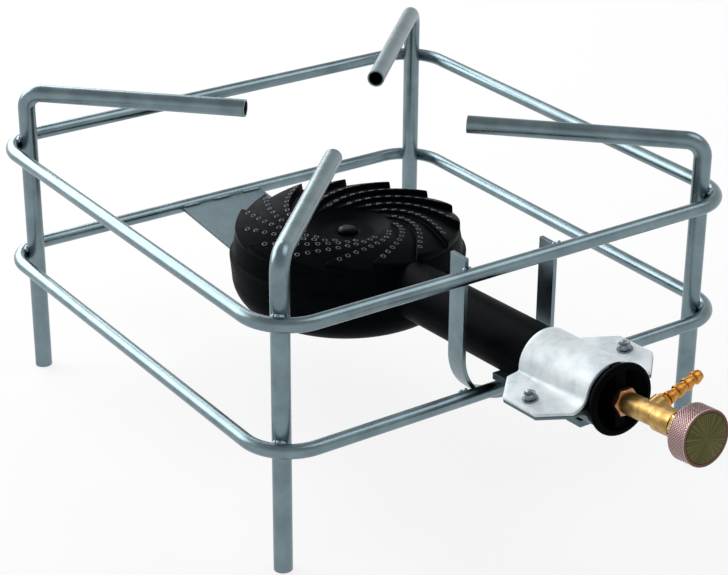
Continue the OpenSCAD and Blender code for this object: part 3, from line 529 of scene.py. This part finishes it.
def saddle_sheet(s, fold, half_w, lift):
    """One face of the sheet: stations s along the tube by points across it. Each half is a flat
    flange, an arc of radius fold that curls up, and an arc round the tube that meets it at a
    tangent; lift shifts the face outwards from the sheet's middle."""
    s, fold, half_w = (np.asarray(v, float)[:, None] for v in (s, fold, half_w))
    round_r = TUBE_R + CLAMP_PLAY + CLAMP_T / 2
    level = CLAMP_GAP / 2 + CLAMP_T / 2
    fold_x = np.sqrt((round_r + fold) ** 2 - (level + fold) ** 2)
    meet = np.arctan2(level + fold, fold_x)
    flange_x = half_w + (fold_x - half_w) * np.linspace(0, 1, 7)[None]
    flange_y = np.full_like(flange_x, level + lift)
    curl = -np.pi / 2 + (meet - np.pi / 2) * np.linspace(0, 1, 12)[None, 1:]
    curl_x = fold_x + (fold - lift) * np.cos(curl)
    curl_y = level + fold + (fold - lift) * np.sin(curl)
    over = meet + (np.pi / 2 - meet) * np.linspace(0, 1, 18)[None, 1:]
    over_x, over_y = (round_r + lift) * np.cos(over), (round_r + lift) * np.sin(over)
    x = np.concatenate([flange_x, curl_x, over_x], 1)
    y = np.concatenate([flange_y, curl_y, over_y], 1)
    x, y = np.concatenate([x, -x[:, -2::-1]], 1), np.concatenate([y, y[:, -2::-1]], 1)
    return np.stack([x, y, np.broadcast_to(s, x.shape)], -1)


dress(strap_steel, "clamp_base")
far_corner = CLAMP_LEN - CLAMP_CORNER
along = np.unique(np.concatenate([np.linspace(0, CLAMP_CORNER, 8),
                                  np.linspace(CLAMP_CORNER, far_corner, 14),
                                  np.linspace(far_corner, CLAMP_LEN, 8)]))
cut_in = CLAMP_HALF_W - np.maximum(CLAMP_CORNER - np.minimum(along, CLAMP_LEN - along), 0)
folds = FOLD_R + FOLD_GROWTH * (along / CLAMP_LEN) ** FOLD_EASING
outer, inner = (saddle_sheet(CLAMP_S + along, folds, cut_in, lift)
                for lift in (CLAMP_T / 2, -CLAMP_T / 2))
sheet = [np.concatenate([outer, inner[:, ::-1], outer[:, :1]], 1)]
sheet += [np.stack([outer[end], inner[end]]) for end in (0, -1)]

# Smudges of 15 mm are handling marks in the bright plating; its crystals are drawn at 1.1 mm.
bright_zinc, tree, shader = start_material("bright_zinc_sheet", {"Metallic": 0.25})
where = add(tree, "TexCoord").outputs["Object"]
smudge = add(tree, "TexNoise", {"Vector": where, "Scale": features(15), "Detail": 6.0,
                                "Roughness": 0.6})
fine = add(tree, "TexNoise", {"Vector": where, "Scale": features(1.1), "Detail": 3.0})
tint = add(tree, "ValToRGB", {"Fac": smudge},
           stops=((0.3, "C8D5DA"), (0.5, "E4EDF0"), (0.68, "F4F8FA")))
gloss = add(tree, "MapRange", {"Value": smudge, "From Min": 0.3, "From Max": 0.7,
                               "To Min": 0.56, "To Max": 0.44})
edges = add(tree, "Bevel", {"Radius": 0.35 * MM}, samples=4)
relief = add(tree, "Bump", {"Height": fine, "Strength": 0.08, "Distance": 0.2 * MM,
                            "Normal": edges})
feed(shader, {"Base Color": tint, "Roughness": gloss, "Normal": relief})
saddle = surface("clamp_saddle_sheet", [put(CLAMP, grid) for grid in sheet],
                 "burner", bright_zinc, ("clamp_saddle",))
rounding = saddle.modifiers.new("sheared_edges", "BEVEL")
rounding.width = SHEARED_EDGE_R * MM
rounding.segments = 2
rounding.limit_method = "ANGLE"
rounding.angle_limit = math.radians(50)


# Fasteners: bright zinc-plated steel. Hexagon nuts have both faces chamfered, and the screws stand
# out of them by two threads. Their plating is greyer than the clamp's and has small spots.

SCREW_X = 40.2
SCREW_R, SCREW_PITCH, SCREW_THREAD_DEPTH = 2.5, 0.8, 0.25
SCREW_HEAD_R, SCREW_HEAD_H, SCREW_PROUD = 4, 4, 1.6
CLAMP_NUT_ACROSS, CLAMP_NUT_H, CLAMP_NUT_HOLE_R = 8.0, 4, 2.4
CLAMP_WASHER_T = 1
BOLT_NUT_ACROSS, BOLT_NUT_HOLE_R = 13.0, 3.9
BOLT_NUT_LOW, BOLT_NUT_HIGH = -10.3, -3.8


def hexagon_nut(across, hole_r, low, high):
    """Height by angle: a hexagon cut to a cone of 30 degrees near both faces, closed through its
    hole. The distance from the axis to the hexagon's side is half its width over the cosine of the
    angle from the middle of the flat."""
    turn = np.radians(np.arange(0, 361, 5))[None]
    side = across / 2 / np.cos(np.mod(turn, np.pi / 3) - np.pi / 6)
    cone = across / 2 * np.linspace(0.95, 1.17, 6)
    fall = (cone - cone[0]) * math.tan(math.radians(30))
    lip = 0.35
    rows = [(hole_r, low + lip), (hole_r + lip, low), *zip(cone, low + fall),
            *zip(cone[::-1], high - fall[::-1]), (hole_r + lip, high), (hole_r, high - lip),
            (hole_r, low + lip)]
    r, z = (np.array(column)[:, None] for column in zip(*rows))
    return about_axis(np.minimum(side, r), z, turn)


fastener_zinc, tree, shader = start_material("bright_zinc_fastener", {"Metallic": 1.0,
                                                                      "Roughness": 0.32})
where = add(tree, "TexCoord").outputs["Object"]
spots = add(tree, "TexNoise", {"Vector": where, "Scale": features(3), "Detail": 3.0})
tint = add(tree, "ValToRGB", {"Fac": spots}, stops=((0.35, "727B80"), (0.65, "9AA3A8")))
edges = add(tree, "Bevel", {"Radius": 0.2 * MM}, samples=4)
feed(shader, {"Base Color": tint, "Normal": edges})
dress(fastener_zinc, "burner_bolt_washer", "clamp_washers", "valve_spindle", "knob_screw")

flange_top = CLAMP_GAP / 2 + CLAMP_T
nut_low = flange_top + CLAMP_WASHER_T
nut_high = nut_low + CLAMP_NUT_H
nut = hexagon_nut(CLAMP_NUT_ACROSS, CLAMP_NUT_HOLE_R, nut_low, nut_high)
shank = screw_thread(SCREW_R, SCREW_PITCH, -flange_top - 0.5, nut_high + SCREW_PROUD,
                     SCREW_THREAD_DEPTH)
head = turned([(0, -flange_top - SCREW_HEAD_H), (SCREW_HEAD_R, -flange_top - SCREW_HEAD_H),
               (SCREW_HEAD_R, -flange_top), (0, -flange_top)], 40, 0.8)
nuts, screws = [], []
for side in (-1, 1):
    place = CLAMP @ move_by(side * SCREW_X, 0, CLAMP_S + CLAMP_LEN / 2) @ turn_by(-90, "X")
    nuts.append(put(place, nut))
    screws += [put(place, shank), put(place, head)]
surface("clamp_nuts_chamfered", nuts, "burner", fastener_zinc, ("clamp_nuts",))
surface("clamp_screws_threaded", screws,
        "burner", fastener_zinc, ("clamp_screws",))
nut = hexagon_nut(BOLT_NUT_ACROSS, BOLT_NUT_HOLE_R, BOLT_NUT_LOW, BOLT_NUT_HIGH)
surface("burner_bolt_nut_chamfered", [put(CASTING, nut)],
        "burner", fastener_zinc, ("burner_bolt_nut",))


# Valve: a needle valve turned from brass bar, screwed through the bridge in the mouth and held by a
# pinkish copper-coloured lock nut. Turning leaves fine rings round the valve's axis, and the metal
# has gone a little darker in patches.

VALVE_S, VALVE_CANT = 313, 3
VALVE_TURN = 90 - CASTING_TILT - TUBE_SLOPE - VALVE_CANT
VALVE_NUT_ACROSS = 17.0
LOCK_NUT_H, LOCK_NUT_HOLE_R = 5, 5.1
GLAND_NUT_LOW, GLAND_NUT_HIGH = 51, 60
SLEEVE_R, SLEEVE_LOW, SLEEVE_HIGH = 5.4, 46, 51.2
SPINDLE_HOLE_R = 3.1
VALVE = TUBE @ move_by(0, 0, VALVE_S) @ turn_by(-VALVE_CANT, "X")


def on_valve(tree):
    """Object coordinates turned and moved so that +Z runs out along the valve's axis."""
    back_turn = Matrix.Rotation(math.radians(-VALVE_TURN), 3, "X")
    origin = np.array(VALVE)[:3, 3] * MM
    shift = -(np.array(back_turn) @ origin)
    return add(tree, "Mapping", {"Vector": add(tree, "TexCoord").outputs["Object"],
                                 "Location": shift.tolist(),
                                 "Rotation": (math.radians(-VALVE_TURN), 0, 0)})


def turned_metal(name, dark, light, rough):
    """A lathe-turned metal: rings 0.7 mm apart along the valve's axis, drawn coarser than the
    tool's own, which vary gloss and relief, and patches of 6 mm that vary the colour."""
    made, tree, shader = start_material(name, {"Metallic": 1.0})
    where = on_valve(tree)
    flat = add(tree, "Mapping", {"Vector": where, "Scale": (0.02, 0.02, 1.0)})
    rings = add(tree, "TexNoise", {"Vector": flat, "Scale": features(0.7), "Detail": 2.0})
    patches = add(tree, "TexNoise", {"Vector": where, "Scale": features(6), "Detail": 4.0})
    tint = add(tree, "ValToRGB", {"Fac": patches}, stops=((0.35, dark), (0.65, light)))
    gloss = add(tree, "MapRange", {"Value": rings, "From Min": 0.3, "From Max": 0.7,
                                   "To Min": rough - 0.05, "To Max": rough + 0.07})
    edges = add(tree, "Bevel", {"Radius": 0.35 * MM}, samples=4)
    relief = add(tree, "Bump", {"Height": rings, "Strength": 0.1, "Distance": 0.1 * MM,
                                "Normal": edges})
    feed(shader, {"Base Color": tint, "Roughness": gloss, "Normal": relief})
    return made


brass = turned_metal("turned_brass", "96743F", "C6A468", 0.34)
dress(brass, "valve_body", "jet")
copper = turned_metal("turned_copper_alloy", "94684C", "C0926C", 0.34)
dress(copper, "barb_seal")
nut = hexagon_nut(VALVE_NUT_ACROSS, LOCK_NUT_HOLE_R, 0, LOCK_NUT_H)
surface("valve_lock_nut_chamfered", [put(VALVE, nut)],
        "burner", copper, ("valve_lock_nut",))
nut = hexagon_nut(VALVE_NUT_ACROSS, SPINDLE_HOLE_R, GLAND_NUT_LOW, GLAND_NUT_HIGH)
sleeve = turned([(SPINDLE_HOLE_R, SLEEVE_LOW), (SLEEVE_R, SLEEVE_LOW),
                 (SLEEVE_R, SLEEVE_HIGH), (SPINDLE_HOLE_R, SLEEVE_HIGH)], 48, 0.2)
surface("gland_nut_chamfered", [put(VALVE, nut), put(VALVE, sleeve)],
        "burner", brass, ("gland_nut",))

# The packing is braided cord rubbed with graphite: matt black, with strands of 1 mm.
packing, tree, shader = start_material("graphite_packing", {"Roughness": 0.7})
where = add(tree, "TexCoord").outputs["Object"]
strands = add(tree, "TexNoise", {"Vector": where, "Scale": features(1), "Detail": 3.0})
tint = add(tree, "ValToRGB", {"Fac": strands}, stops=((0.35, "0B0B0C"), (0.65, "1C1D1E")))
feed(shader, {"Base Color": tint})
dress(packing, "gland_packing")


# Hose barb: turned from a redder brass and screwed into the side boss. Four crests, each with a
# sharp shoulder towards the valve and a long taper towards the tip, grip the hose.

BARB_Z, BARB_TURN = 25.5, 18.6
BARB_BORE_R = 2
BARB_SPIGOT_R, BARB_SPIGOT_START = 3.5, 5.6
BARB_COLLAR_R, BARB_COLLAR_START, BARB_COLLAR_END = 5.6, 12, 14.0
BARB_CRESTS, BARB_ROOT_R, BARB_CREST_R = 4, 3.2, 4.5
BARB_REACH = 45.0
BARB = VALVE @ move_by(0, 0, BARB_Z) @ turn_by(BARB_TURN, "Z") @ turn_by(90, "Y")
crest_pitch = (BARB_REACH - BARB_COLLAR_END) / BARB_CRESTS
outline = [(BARB_BORE_R, BARB_SPIGOT_START), (BARB_SPIGOT_R, BARB_SPIGOT_START),
           (BARB_SPIGOT_R, BARB_COLLAR_START), (BARB_COLLAR_R, BARB_COLLAR_START),
           (BARB_COLLAR_R, BARB_COLLAR_END), (BARB_ROOT_R, BARB_COLLAR_END)]
for crest in range(BARB_CRESTS):
    base = BARB_COLLAR_END + crest * crest_pitch
    outline += [(BARB_ROOT_R, base + 0.24 * crest_pitch)]
    outline += [(BARB_ROOT_R + (BARB_CREST_R - BARB_ROOT_R) * (1 - part * part),
                 base + crest_pitch * (0.25 + 0.75 * part)) for part in (0, 0.35, 0.7, 1)]
outline += [(BARB_BORE_R, BARB_REACH)]
orange_brass = turned_metal("turned_barb_brass", "AC722A", "D49A4C", 0.32)
surface("hose_barb_ringed", [put(BARB, turned(outline, 48, 0.22))],
        "burner", orange_brass, ("hose_barb",))


# Knob: a turned cup with a hub, plated a pinkish copper. Its rim is knurled with crossed grooves
# about 2 mm apart, and a domed disc of dark olive bronze, brushed from its middle outwards, closes
# the face.

KNOB_BACK, KNOB_FRONT, KNOB_R = 62.5, 77.0, 19.0
KNOB_BORE_R, KNOB_HUB_R = 2.6, 7
KNOB_CUP_R, KNOB_WEB_Z = 16, 69.8
POCKET_R, POCKET_Z = 3.7, 73.8
KNURL_ROUND, KNURL_DEEP = 60, 0.75
DISC_R, DISC_T, DISC_DOME = 16.4, 1.2, 0.8
DISC_SEAT_R, DISC_SEAT_Z = 16.5, KNOB_FRONT - DISC_T


def knurled_rim():
    """Height by angle: the cup's closed outline, with diamonds on the rim. A row is a radius, a
    height and the share of the knurl that it carries. A diamond is the lesser of two triangle
    waves, one for each direction of groove, over the grid of rounds and heights."""
    turn = np.linspace(0, 2 * np.pi, KNURL_ROUND * 4 + 1)[None]
    pitch = 2 * np.pi * KNOB_R / KNURL_ROUND
    knurl_z = np.arange(KNOB_BACK + 1, KNOB_FRONT - 0.9, pitch / 4)
    rows = [(KNOB_BORE_R, KNOB_BACK, 0), (KNOB_HUB_R, KNOB_BACK, 0), (KNOB_HUB_R, KNOB_WEB_Z, 0),
            (KNOB_CUP_R, KNOB_WEB_Z, 0), (KNOB_CUP_R, KNOB_BACK, 0), (KNOB_R - 1, KNOB_BACK, 0),
            (KNOB_R - 0.5, KNOB_BACK + 0.1, 0), (KNOB_R - 0.1, KNOB_BACK + 0.6, 0.2)]
    rows += [(KNOB_R, z, 1) for z in knurl_z]
    rows += [(KNOB_R - 0.1, KNOB_FRONT - 0.65, 0.3), (KNOB_R - 0.25, KNOB_FRONT - 0.25, 0),
             (KNOB_R - 0.7, KNOB_FRONT, 0), (DISC_SEAT_R + 0.3, KNOB_FRONT, 0),
             (DISC_SEAT_R, KNOB_FRONT - 0.3, 0), (DISC_SEAT_R, DISC_SEAT_Z, 0),
             (POCKET_R, DISC_SEAT_Z, 0), (POCKET_R, POCKET_Z, 0), (KNOB_BORE_R, POCKET_Z, 0),
             (KNOB_BORE_R, KNOB_BACK, 0)]
    r, z, cut = (np.array(column)[:, None] for column in zip(*rows))
    a, b = turn * KNURL_ROUND / (2 * np.pi), (z - knurl_z[0]) / pitch
    one_way, other_way = (1 - np.abs(2 * np.mod(v, 1) - 1) for v in (a + b, a - b))
    diamond = np.minimum(one_way, other_way)
    return about_axis(r - cut * KNURL_DEEP * (1 - diamond), z, turn)


# The grooves and the narrow front edge are darker than the worn crests: painted shade in the
# hollows, with some grime there too.
# So the colour follows the distance from the valve's axis, in metres, darker nearer the axis.
knob_copper, tree, shader = start_material("copper_plated_knurl", {"Metallic": 1.0,
                                                                   "Roughness": 0.36})
flat = add(tree, "VectorMath", {0: on_valve(tree), 1: (1, 1, 0)}, operation="MULTIPLY")
away = add(tree, "VectorMath", {0: flat}, operation="LENGTH").outputs["Value"]
groove_shade_and_grime = add(tree, "MapRange", {"Value": away, "From Min": DISC_R * MM, "From Max": KNOB_R * MM})
# The ramp paints shade into the grooves and the front edge, with a little grime, and leaves the
# crests light.
tint = add(tree, "ValToRGB", {"Fac": groove_shade_and_grime},
           stops=((0.0, "57422F"), (0.66, "6A4E42"), (0.75, "785A56"), (1.0, "D8BEBE")))
feed(shader, {"Base Color": tint})
surface("knob_knurled", [put(VALVE, knurled_rim())], "knob", knob_copper, ("knob",))

# The brushing runs outwards, so a noise that reads only the direction from the middle draws the
# rays; about 60 show, coarser than the brush's own hairs.
disc_bronze, tree, shader = start_material("brushed_olive_bronze", {"Metallic": 1.0})
flat = add(tree, "Mapping", {"Vector": on_valve(tree), "Scale": (1, 1, 0)})
ray = add(tree, "VectorMath", {0: flat}, operation="NORMALIZE")
rays = add(tree, "TexNoise", {"Vector": ray, "Scale": 14.0, "Detail": 5.0, "Roughness": 0.7})
tint = add(tree, "ValToRGB", {"Fac": rays},
           stops=((0.36, "3A391F"), (0.5, "4F4D2D"), (0.64, "6E6A45")))
gloss = add(tree, "MapRange", {"Value": rays, "From Min": 0.35, "From Max": 0.65,
                               "To Min": 0.3, "To Max": 0.5})
relief = add(tree, "Bump", {"Height": rays, "Strength": 0.5, "Distance": 0.5 * MM})
feed(shader, {"Base Color": tint, "Roughness": gloss, "Normal": relief})
dome = [(0, DISC_SEAT_Z), (DISC_R, DISC_SEAT_Z), (DISC_R, KNOB_FRONT)]
dome += [(DISC_R * part, KNOB_FRONT + DISC_DOME * (1 - part * part))
         for part in np.linspace(0.95, 0, 16)]
surface("knob_disc_domed", [put(VALVE, turned(dome, 96, 0.15))],
        "knob", disc_bronze, ("knob_disc",))


# Floor and studio: a plain pale floor, a large soft lamp behind on the left, which whitens the bars
# that run towards it, and a weaker one high on the right. Lengths here are in metres.

FLOOR_HALF = 6.0
FLOOR_DROP = 0.0005
FADE_START, FADE_END = 1.0, 4.0
FLOOR_OWN_LIGHT = 0.82
OVERHEAD_WHITE = 0.45
SURROUND_LIGHT = (0.34, 0.345, 0.355, 1)


def seen_ray(tree):
    """1 for camera, glossy and transmission rays, 0 for those that only carry light."""
    rays = add(tree, "LightPath").outputs
    seen = add(tree, "Math", {0: rays["Is Camera Ray"], 1: rays["Is Glossy Ray"]}, operation="ADD")
    return add(tree, "Math", {0: seen, 1: rays["Is Transmission Ray"]}, operation="ADD",
               use_clamp=True)


# Seen directly or in metal, it is nearly as white as the surround and keeps a fifth of its shadow.
# Further out it fades into the surround, so no edge shows.
floor_mesh = bpy.data.meshes.new("floor")
floor_mesh.from_pydata([(-FLOOR_HALF, -FLOOR_HALF, 0), (FLOOR_HALF, -FLOOR_HALF, 0),
                        (FLOOR_HALF, FLOOR_HALF, 0), (-FLOOR_HALF, FLOOR_HALF, 0)],
                       [], [(0, 1, 2, 3)])
floor = show("floor", floor_mesh)
floor.location.z = -FLOOR_DROP
floor_paint, tree, shader = start_material("pale_floor", {"Base Color": linear("F7F7F7"),
                                                          "Roughness": 0.9,
                                                          "Specular IOR Level": 0.0})
white = add(tree, "Emission", {"Color": linear("FFFFFF"), "Strength": 1.0})
away = add(tree, "VectorMath", {0: add(tree, "TexCoord").outputs["Object"]}, operation="LENGTH")
fade = add(tree, "MapRange", {"Value": away.outputs["Value"], "From Min": FADE_START,
                              "From Max": FADE_END, "To Min": FLOOR_OWN_LIGHT})
share = add(tree, "Math", {0: seen_ray(tree), 1: fade}, operation="MULTIPLY")
mixed = add(tree, "MixShader", {0: share, 1: shader, 2: white})
feed(tree.nodes["Material Output"], {"Surface": mixed})
floor_mesh.materials.append(floor_paint)

# The surround is white where it meets the floor, also for metal, and greyer overhead.
world = bpy.data.worlds.new("studio")
bpy.context.scene.world = world
world.use_nodes = True
tree = world.node_tree
direction = add(tree, "SeparateXYZ", {"Vector": add(tree, "TexCoord").outputs["Generated"]})
height = add(tree, "MapRange", {"Value": direction.outputs["Z"], "From Min": 0.1, "From Max": 0.8,
                                "To Min": 1.0, "To Max": OVERHEAD_WHITE})
level = add(tree, "MixRGB", {"Fac": seen_ray(tree), "Color1": SURROUND_LIGHT, "Color2": height})
feed(tree.nodes["Background"], {"Color": level})


def area_lamp(name, place, aim, wide, high, watts):
    """A rectangular soft lamp at place, facing the point aim."""
    data = bpy.data.lights.new(name, "AREA")
    data.shape = "RECTANGLE"
    data.size, data.size_y = wide, high
    data.energy = watts
    lamp = show(name, data)
    lamp.location = place
    lamp.rotation_mode = "QUATERNION"
    lamp.rotation_quaternion = (Vector(aim) - Vector(place)).to_track_quat("-Z", "Y")


LAMP_AIM = (0, 0.1, 0.15)
area_lamp("back_left_softbox", (-0.5, 1.9, 1.1), LAMP_AIM, 2.8, 1.4, 58)
area_lamp("right_softbox", (0.9, -0.4, 1.8), LAMP_AIM, 1.2, 1.2, 9)


# Camera: the photograph's own view. Its place in metres, its three angles and its focal length come
# from a fit to the stand's straight bars.

AZIMUTH, ELEVATION, ROLL = (math.radians(angle) for angle in (-34.5, 25.49, 0.35))
EYE = (-0.7983, -1.08075, 0.7669)
FOCAL_PIXELS = 2083.2
IMAGE_W = 728
SENSOR_W = 36.0
back = np.array([math.sin(AZIMUTH) * math.cos(ELEVATION), -math.cos(AZIMUTH) * math.cos(ELEVATION),
                 math.sin(ELEVATION)])
right = np.array([math.cos(AZIMUTH), math.sin(AZIMUTH), 0])
up = np.cross(back, right)
right, up = (right * math.cos(ROLL) + up * math.sin(ROLL),
             up * math.cos(ROLL) - right * math.sin(ROLL))
camera = show("camera", bpy.data.cameras.new("camera"))
camera.data.sensor_width = SENSOR_W
camera.data.lens = FOCAL_PIXELS * SENSOR_W / IMAGE_W
camera.matrix_world = Matrix([*zip(right, up, back, EYE), (0, 0, 0, 1)])
bpy.context.scene.camera = camera
bpy.context.scene.view_settings.view_transform = "Standard"
